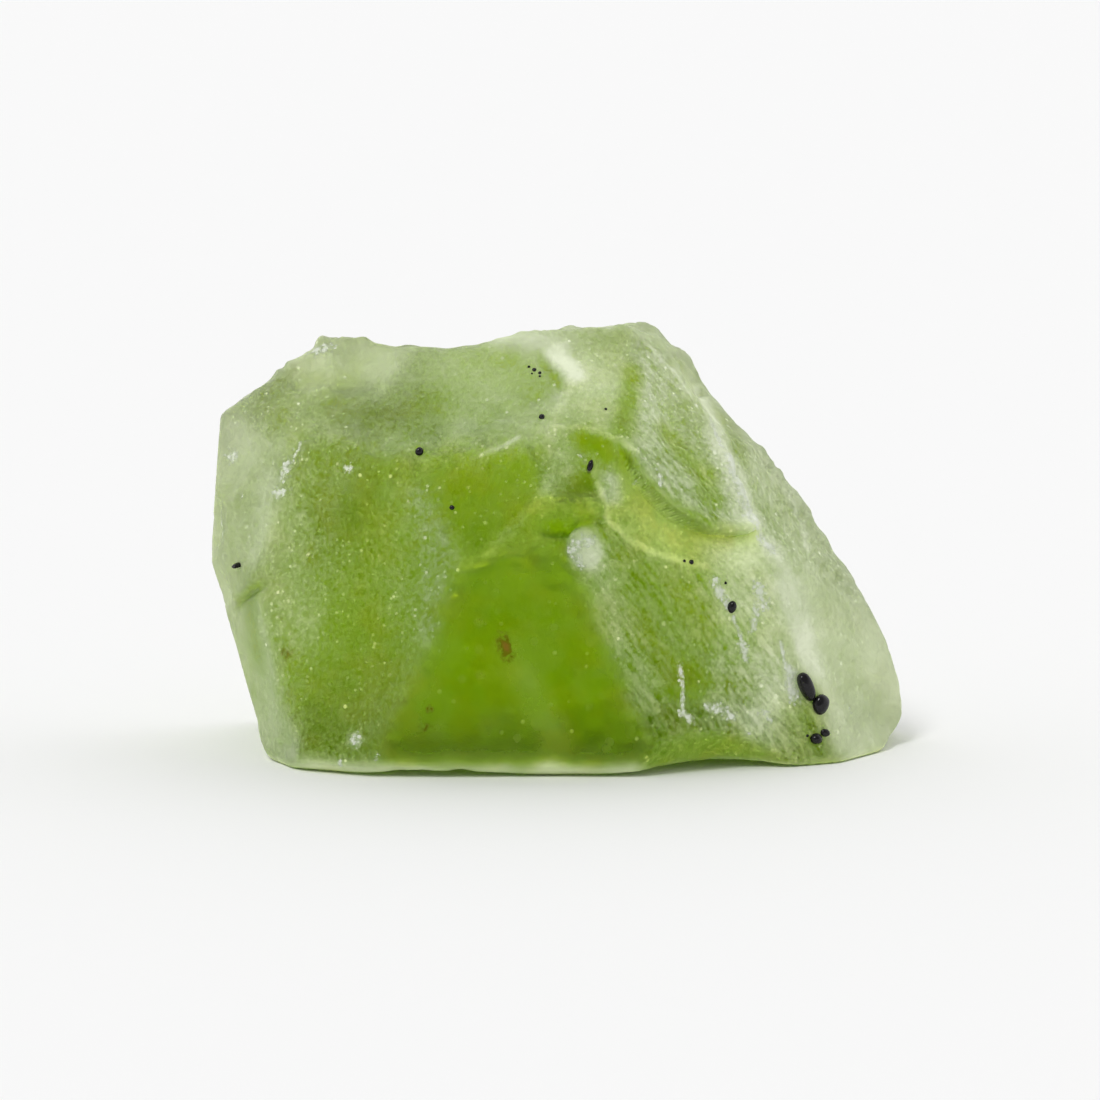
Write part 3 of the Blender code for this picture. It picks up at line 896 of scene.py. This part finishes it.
# %% Give the frost its grains and crinkles
# Each ranged noise: its size in millimetres, its detail, the span that is read, and what it becomes
NOISE_SPAN = (0.30, 0.70)
NARROW_SPAN = (0.35, 0.65)
BLOTCHES = (0.24, 2.0, NOISE_SPAN, (-0.26, 0.26))
CRINKLES = (0.10, 3.0, NARROW_SPAN, (-0.60, 0.72))
CRINKLE_TURN = 50.0
CRINKLE_STRETCH = 4.0
CRINKLED_FROST = 0.22
GRAIN_SIZE = 0.09
GRAIN_CHANGE = (-0.85, 0.85)
GRAINY_FROST = 0.17


def run_along(tree, place, turn, factor):
    """Coordinates whose texture is stretched by a factor along a line turned down from X, in degrees."""
    node = tree.nodes.new("ShaderNodeMapping")
    node.vector_type = "TEXTURE"
    node.inputs["Rotation"].default_value = (0.0, math.radians(turn), 0.0)
    node.inputs["Scale"].default_value = (factor, 1.0, 1.0)
    tree.links.new(place, node.inputs["Vector"])
    return node.outputs["Vector"]


def frost_texture(tree, place, fine, frost_value, grit_value):
    """What grains and crinkles add to the frost: grit times the sum of fine and blotchy noise, times
    the frost up to one limit, plus ripple times crinkled noise, times the frost up to another."""
    blotches = ranged_noise(tree, place, BLOTCHES)
    grains = math_node(tree, "ADD", remap(tree, fine, NOISE_SPAN, GRAIN_CHANGE), blotches)
    grainy_frost = math_node(tree, "MINIMUM", frost_value, GRAINY_FROST)
    gritty = times(tree, grainy_frost, times(tree, grit_value, grains))
    drawn_out = run_along(tree, place, CRINKLE_TURN, CRINKLE_STRETCH)
    crinkles = ranged_noise(tree, drawn_out, CRINKLES)
    striped = times(tree, read_number(tree, "ripple"), crinkles)
    crinkled_frost = math_node(tree, "MINIMUM", frost_value, CRINKLED_FROST)
    return math_node(tree, "MULTIPLY_ADD", crinkled_frost, striped, gritty)


print("Frost grains are", GRAIN_SIZE, "mm across, and crinkles", CRINKLES[0], "mm")

# %% [markdown]
# Where a tiny step of the fracture faces the light, it flashes as a bright dot, and the dots here are
# painted flashes of that kind. Each kind of dot could be many small pieces, but thousands of them would
# weigh more than the stone. A Voronoi texture does it in the material: it fills space with cells, and
# the distance to a cell's centre draws a round dot there. The cell's random colour decides whether it
# has a dot, so no grid shows. The finest flashes lie in patches on gritty faces, spots are rarer and
# larger, and faint bubbles are everywhere.

# %% Scatter the bright dots
# Each kind: the cells' size in millimetres, the dot's reach as a share of it, the share of the cells
# that have a dot, and how much frost a dot adds
DUST_FLASHES = (0.12, 0.36, 0.50, 0.70)
SPOTS = (0.32, 0.17, 0.50, 1.10)
BUBBLES = (0.36, 0.40, 0.60, 0.07)
DOT_CORE = 0.4
DUST_FLASH_GRIT = 0.25
PATCHES = (0.7, 3.0, (0.40, 0.60), (0.20, 1.0))
STRAY_SPOTS = 0.35
STRAY_SPOT_GRIT = 1.4


def dots(tree, place, spacing, reach, share):
    """Small round dots, one in each Voronoi cell: 1 in a dot, 0 past reach times the spacing. Only a
    share of the cells has a dot, and the cell's own random number sets how strong it is."""
    node = tree.nodes.new("ShaderNodeTexVoronoi")
    node.inputs["Scale"].default_value = 1.0 / (spacing * MM)
    tree.links.new(place, node.inputs["Vector"])
    parts = tree.nodes.new("ShaderNodeSeparateColor")
    tree.links.new(node.outputs["Color"], parts.inputs["Color"])
    dot = remap(tree, node.outputs["Distance"], (reach * DOT_CORE, reach), (1.0, 0.0), smooth=True)
    return times(tree, dot, remap(tree, parts.outputs[0], (1.0 - share, 1.0), (0.0, 1.0)))


def bright_dots(tree, place, grit_value):
    """Painted flashes: the finest grow with the grit in patches, spots do too but a few stray everywhere
    on gritty faces, and bubbles are even. Each kind is its dots times its strength."""
    patches = ranged_noise(tree, place, PATCHES)
    dusty_flashes = times(tree, math_node(tree, "SUBTRACT!", grit_value, DUST_FLASH_GRIT), patches)
    dust_flashes = times(tree, dots(tree, place, *DUST_FLASHES[:3]), times(tree, dusty_flashes, DUST_FLASHES[3]))
    stray = math_node(tree, "MINIMUM", times(tree, grit_value, STRAY_SPOT_GRIT), STRAY_SPOTS)
    spotty = math_node(tree, "MULTIPLY_ADD", dusty_flashes, SPOTS[3], stray)
    spots = times(tree, dots(tree, place, *SPOTS[:3]), spotty)
    bubbles = times(tree, dots(tree, place, *BUBBLES[:3]), BUBBLES[3])
    return dust_flashes, spots, bubbles


print("Dots", DUST_FLASHES[0], "to", BUBBLES[0], "mm apart")

# %% [markdown]
# The frost, its texture and the dots add up to the haze: the share of light that the skin scatters.
# Broad noise makes it uneven, and faint smoke clouds even the glassy windows, as films do on a real
# fracture. The crushed marks and the painted glints are kept apart, because they are white and nearly
# opaque. The number on the mesh gives only their place, and noise then makes their edges ragged and
# their insides crumbly.

# %% Add up the haze, the crushed marks and painted glints, and the inclusions
BROAD_SIZE = 1.1
BROAD_CHANGE = (0.78, 1.22)
SMOKE = (0.6, 5.0, (0.46, 0.70), (0.0, 0.045))
EDGE_SPAN = (0.40, 0.65)
EDGE_WEAR_AND_HIGHLIGHT = (0.0, 0.08)
RAGGED_SIZE = 0.14
RAGGED_CHANGE = (-0.75, 0.25)
CRUMBS = (0.09, 0.62, 0.90)
CRUMB_STRENGTH = 0.55
BRUISE_AND_GLINT_CORE = (0.0, 0.25)
BRUISE_AND_GLINT_SPAN = (0.15, 0.90)
FLECKS = (0.10, 3.0, NARROW_SPAN, (0.35, 1.15))
STAIN_SPAN = (0.05, 0.95)
STAIN_FROST = (0.0, 0.85)


def peridot_haze(tree, place, fine, grit_value):
    """Share of light that the skin scatters: the face's frost times broad noise, plus its texture,
    smoke, a haze along its edges that is partly wear and partly a painted highlight on lit edges, and
    the bright dots, which are painted flashes."""
    frost_value = read_number(tree, "frost")
    broad = grain_noise(tree, place, BROAD_SIZE, detail=4.0)
    haze = times(tree, frost_value, remap(tree, broad, NOISE_SPAN, BROAD_CHANGE))
    texture = frost_texture(tree, place, fine, frost_value, grit_value)
    smoke = ranged_noise(tree, place, SMOKE)
    # Along the edges: haze that is partly wear and partly a painted highlight on lit edges.
    edge = times(tree, read_number(tree, "edge"), remap(tree, broad, EDGE_SPAN, EDGE_WEAR_AND_HIGHLIGHT))
    for part in (texture, smoke, edge, *bright_dots(tree, place, grit_value)):
        haze = math_node(tree, "ADD", haze, part)
    return haze


def peridot_bruises(tree, place):
    """White crushed spots and painted glints: their number plus ragged noise and crumbs, where they lie."""
    bruise_value = read_number(tree, "bruise")
    ragged = grain_noise(tree, place, RAGGED_SIZE, detail=5.0, roughness=0.75)
    crumbs = times(tree, dots(tree, place, *CRUMBS), CRUMB_STRENGTH)
    broken = math_node(tree, "ADD", remap(tree, ragged, NOISE_SPAN, RAGGED_CHANGE), crumbs)
    pushed = math_node(tree, "ADD", bruise_value, broken)
    kept = remap(tree, bruise_value, BRUISE_AND_GLINT_CORE, (0.0, 1.0))
    return times(tree, kept, remap(tree, pushed, BRUISE_AND_GLINT_SPAN, (0.0, 1.0), smooth=True))


def peridot_inclusions(tree, place):
    """Brown flecks: the stain number times fine noise."""
    flecks = ranged_noise(tree, place, FLECKS)
    return remap(tree, times(tree, read_number(tree, "stain"), flecks), STAIN_SPAN, STAIN_FROST)


print("Crushed crumbs are", CRUMBS[0], "mm apart, and inclusion flecks", FLECKS[0], "mm")

# %% [markdown]
# The skin's colour tints the light that passes and the light that is scattered. Clear skin is nearly
# white, and haze runs from pale to the crystal's green by the glow. The volume inside takes blue away
# completely and red faster than green. Those values are the same everywhere, so they are set on the
# shaders' own sockets.

# %% Mix the peridot
PERIDOT_IOR = 1.67
ABSORB_COLOUR = (0.765, 0.858, 0.0)
ABSORB_DENSITY = 960.0
SPECULAR_TINT = (0.60, 0.80, 0.0)
CLEAR_SKIN = (0.86, 0.94, 0.30)
WARM_SKIN = (0.96, 0.88, 0.22)
PALE_HAZE = (0.85, 0.91, 0.69)
GREEN_HAZE = (0.58, 0.76, 0.14)
WARM_HAZE = (0.66, 0.77, 0.12)
CRUSHED_AND_GLINT_WHITE = (0.86, 0.90, 0.80)
INCLUSION_BROWN = (0.26, 0.13, 0.02)
WARMTH = (0.8, 4.0, (0.46, 0.62), (0.0, 1.0))
HAZY_SPAN = (0.0, 0.20)
BROWN_COVER = 6.0
CRUSHED_AND_GLINT_COVER = 0.80
GRIT_ROUGHENING = 0.45
SCATTER_SPAN = (0.0, 0.8)
ROUGHNESS = (0.14, 0.72)
BUMP_STRENGTH = 0.5
BUMP_HEIGHT = 0.02


def new_material(name):
    """A material with nodes: itself, its tree, its shader and its Object coordinates."""
    material = bpy.data.materials.new(name)
    material.use_nodes = True
    tree = material.node_tree
    place = tree.nodes.new("ShaderNodeTexCoord").outputs["Object"]
    return material, tree, tree.nodes["Principled BSDF"], place


def skin_colour(tree, place, haze, crushed_and_glints, brown):
    """Broad noise mixes green with a warmer green, glow mixes pale haze with green haze, and haze
    mixes clear skin with hazy skin. Crushed white, which also paints the glints, and brown then cover them."""
    warm = ranged_noise(tree, place, WARMTH)
    green = mix_colour(tree, warm, GREEN_HAZE, WARM_HAZE)
    hazy = mix_colour(tree, read_number(tree, "glow"), PALE_HAZE, green)
    clear = mix_colour(tree, warm, CLEAR_SKIN, WARM_SKIN)
    colour = mix_colour(tree, remap(tree, haze, HAZY_SPAN, (0.0, 1.0)), clear, hazy)
    colour = mix_colour(tree, crushed_and_glints, colour, CRUSHED_AND_GLINT_WHITE)
    return mix_colour(tree, math_node(tree, "MULTIPLY!", brown, BROWN_COVER), colour, INCLUSION_BROWN)


def skin_bump(tree, fine, grit_value, crushed_and_glints):
    """The finest relief: a Bump node fed with fine noise times grit, plus crushed spots and painted glints.
    """
    bump = tree.nodes.new("ShaderNodeBump")
    bump.inputs["Strength"].default_value = BUMP_STRENGTH
    bump.inputs["Distance"].default_value = BUMP_HEIGHT * MM
    height = math_node(tree, "ADD", times(tree, fine, grit_value), crushed_and_glints)
    tree.links.new(height, bump.inputs["Height"])
    return bump.outputs["Normal"]


def soak_up_light(tree):
    """Volume absorption: each colour fades by exp of minus the density, times what it lacks, times
    the depth."""
    volume = tree.nodes.new("ShaderNodeVolumeAbsorption")
    volume.inputs["Color"].default_value = (*ABSORB_COLOUR, 1.0)
    volume.inputs["Density"].default_value = ABSORB_DENSITY
    tree.links.new(volume.outputs["Volume"], tree.nodes["Material Output"].inputs["Volume"])


def make_peridot():
    """See-through peridot: what isn't scattered is let through, and scattering and grit roughen it."""
    material, tree, shader, place = new_material("peridot")
    grit_value = read_number(tree, "grit")
    fine = grain_noise(tree, place, GRAIN_SIZE, detail=2.0, roughness=0.6)
    haze = peridot_haze(tree, place, fine, grit_value)
    crushed_and_glints = peridot_bruises(tree, place)
    brown = peridot_inclusions(tree, place)
    scatter = math_node(tree, "MAXIMUM", haze, times(tree, crushed_and_glints, CRUSHED_AND_GLINT_COVER))
    scatter = math_node(tree, "MAXIMUM!", scatter, brown)
    gritted = math_node(tree, "MULTIPLY_ADD", grit_value, GRIT_ROUGHENING, scatter)
    finish = {
        "Base Color": skin_colour(tree, place, haze, crushed_and_glints, brown),
        "Roughness": remap(tree, gritted, SCATTER_SPAN, ROUGHNESS),
        "Transmission Weight": math_node(tree, "SUBTRACT!", 1.0, scatter),
        "Normal": skin_bump(tree, fine, grit_value, crushed_and_glints),
    }
    for name, socket in finish.items():
        tree.links.new(socket, shader.inputs[name])
    shader.inputs["IOR"].default_value = PERIDOT_IOR
    shader.inputs["Specular Tint"].default_value = (*SPECULAR_TINT, 1.0)
    soak_up_light(tree)
    return material


stone.data.materials.append(make_peridot())
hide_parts("peridot_crystal")
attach(stone, "root")
print("Peridot skin dressed")

# %% [markdown]
# ## Chromite grains
#
# The black grains are small glossy crystals whose corners and edges have been rounded. Each keeps the
# turn, and within about a tenth of a millimetre the place and size, that it has in the CAD part. They
# could be bevelled cubes, but worn grains are nearer to pebbles. So a closed box grid is pulled onto a
# rounded box, and low noise makes it lumpy. A few finer specks are one mesh, half sunk in the skin.

# %% Shape the grains
# Centre from the heart, half-sizes, turn about X, Y and Z in degrees, and boxiness (2 is a ball)
GRAINS = {
    "chromite_pair_long": ((5.12, -1.95, -2.44), (0.15, 0.16, 0.32), (0, -25, 25), 2.2),
    "chromite_pair_short": ((5.41, -1.86, -2.82), (0.18, 0.16, 0.21), (10, 20, 50), 2.1),
    "chromite_toe": ((5.31, -2.04, -3.48), (0.13, 0.13, 0.11), (20, 0, 30), 2.2),
    "chromite_toe_small": ((5.50, -1.96, -3.38), (0.10, 0.06, 0.08), (0, 15, 20), 2.0),
    "chromite_middle": ((3.61, -2.31, -0.78), (0.09, 0.09, 0.13), (0, 20, 10), 2.0),
    "chromite_hollow": ((0.79, -2.42, 2.04), (0.06, 0.09, 0.15), (0, 15, 0), 2.0),
    "chromite_left": ((-6.27, -0.92, -0.14), (0.15, 0.08, 0.05), (0, -12, 40), 2.0),
}

# Finer specks: a point on the skin and a half-size
SPECKS = {
    "shoulder_left": ((-2.59, -2.42, 2.35), 0.085),
    "shoulder_ring": ((-0.16, -2.06, 2.97), 0.060),
    "brow": ((-1.93, -3.05, 1.30), 0.050),
    "crescent": ((2.79, -2.47, 0.16), 0.050),
    "crescent_two": ((2.66, -2.52, 0.18), 0.030),
    "saddle": ((1.09, -1.64, 3.12), 0.030),
    "streak": ((3.47, -2.30, -0.31), 0.030),
    "crown_one": ((-0.30, -1.02, 3.84), 0.045),
    "crown_two": ((-0.22, -1.10, 3.76), 0.035),
    "crown_three": ((-0.42, -1.00, 3.86), 0.030),
    "crown_four": ((-0.36, -1.12, 3.76), 0.022),
    "crown_five": ((-0.18, -1.20, 3.68), 0.026),
    "toe_third": ((5.12, -2.12, -3.40), 0.030),
}
GRAIN_COUNTS = (12, 12, 12)
GRAIN_SPREAD = 0.7
LUMP_SIZE = 0.8
LUMP_HEIGHT = 0.07
GRAIN_SEED = 60
SPECK_SEED = 80
BALL = 2.0


def grain_points(half_sizes, boxiness, seed):
    """A box grid divided by its length, where the length is the sum of |x|, |y| and |z| to the power
    of the boxiness, to one over the boxiness. Noise then moves each point in or out a little."""
    points, faces = box_grid(GRAIN_COUNTS)
    points = spread_evenly(points, GRAIN_SPREAD)
    points /= (np.abs(points) ** boxiness).sum(axis=1, keepdims=True) ** (1.0 / boxiness)
    points *= 1.0 + LUMP_HEIGHT * smooth_noise(points, LUMP_SIZE, seed)[:, None]
    return points * np.array(half_sizes), faces


def turn_matrix(turn):
    """Turn about X, then Y, then Z, in degrees."""
    return np.array(Euler([math.radians(angle) for angle in turn]).to_matrix())


def skin_point(point):
    """The nearest point of the carved skin."""
    return carved[np.argmin(((carved - np.array(point)) ** 2).sum(axis=1))]


points, faces = grain_points((1.0, 1.0, 1.0), BALL, GRAIN_SEED)
print("A grain has", len(points), "points and", len(faces), "faces")

# %% Give the grains their finish
CHROMITE_DARK = (0.003, 0.003, 0.004)
CHROMITE_LIGHT = (0.016, 0.015, 0.015)
MOTTLE_SIZE = 0.08
CHROMITE_ROUGHNESS = (0.03, 0.14)


def make_chromite():
    """Glossy black mineral: mottled noise makes its black and its gloss a little uneven."""
    material, tree, shader, place = new_material("chromite")
    mottle = grain_noise(tree, place, MOTTLE_SIZE)
    black = mix_colour(tree, mottle, CHROMITE_DARK, CHROMITE_LIGHT)
    tree.links.new(black, shader.inputs["Base Color"])
    tree.links.new(remap(tree, mottle, NOISE_SPAN, CHROMITE_ROUGHNESS), shader.inputs["Roughness"])
    shader.inputs["Specular IOR Level"].default_value = 0.30
    return material


chromite = make_chromite()
for number, (name, (place, half_sizes, turn, boxiness)) in enumerate(GRAINS.items()):
    points, faces = grain_points(half_sizes, boxiness, GRAIN_SEED + number)
    grain = make_mesh(name + "_rounded", points @ turn_matrix(turn).T + np.array(place), faces)
    grain.data.materials.append(chromite)
    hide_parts(name)
    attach(grain, "root")
print(len(GRAINS), "grains are in their pockets")

# %% Sprinkle the finer specks
speck_points, speck_faces = [], []
for number, (place, size) in enumerate(SPECKS.values()):
    points, faces = grain_points((size, size, size), BALL, SPECK_SEED + number)
    speck_faces.append(faces + sum(len(done) for done in speck_points))
    speck_points.append(points + skin_point(place))
specks = make_mesh("chromite_specks", np.concatenate(speck_points), np.concatenate(speck_faces))
specks.data.materials.append(chromite)
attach(specks, "root")
print(len(SPECKS), "specks in one mesh")
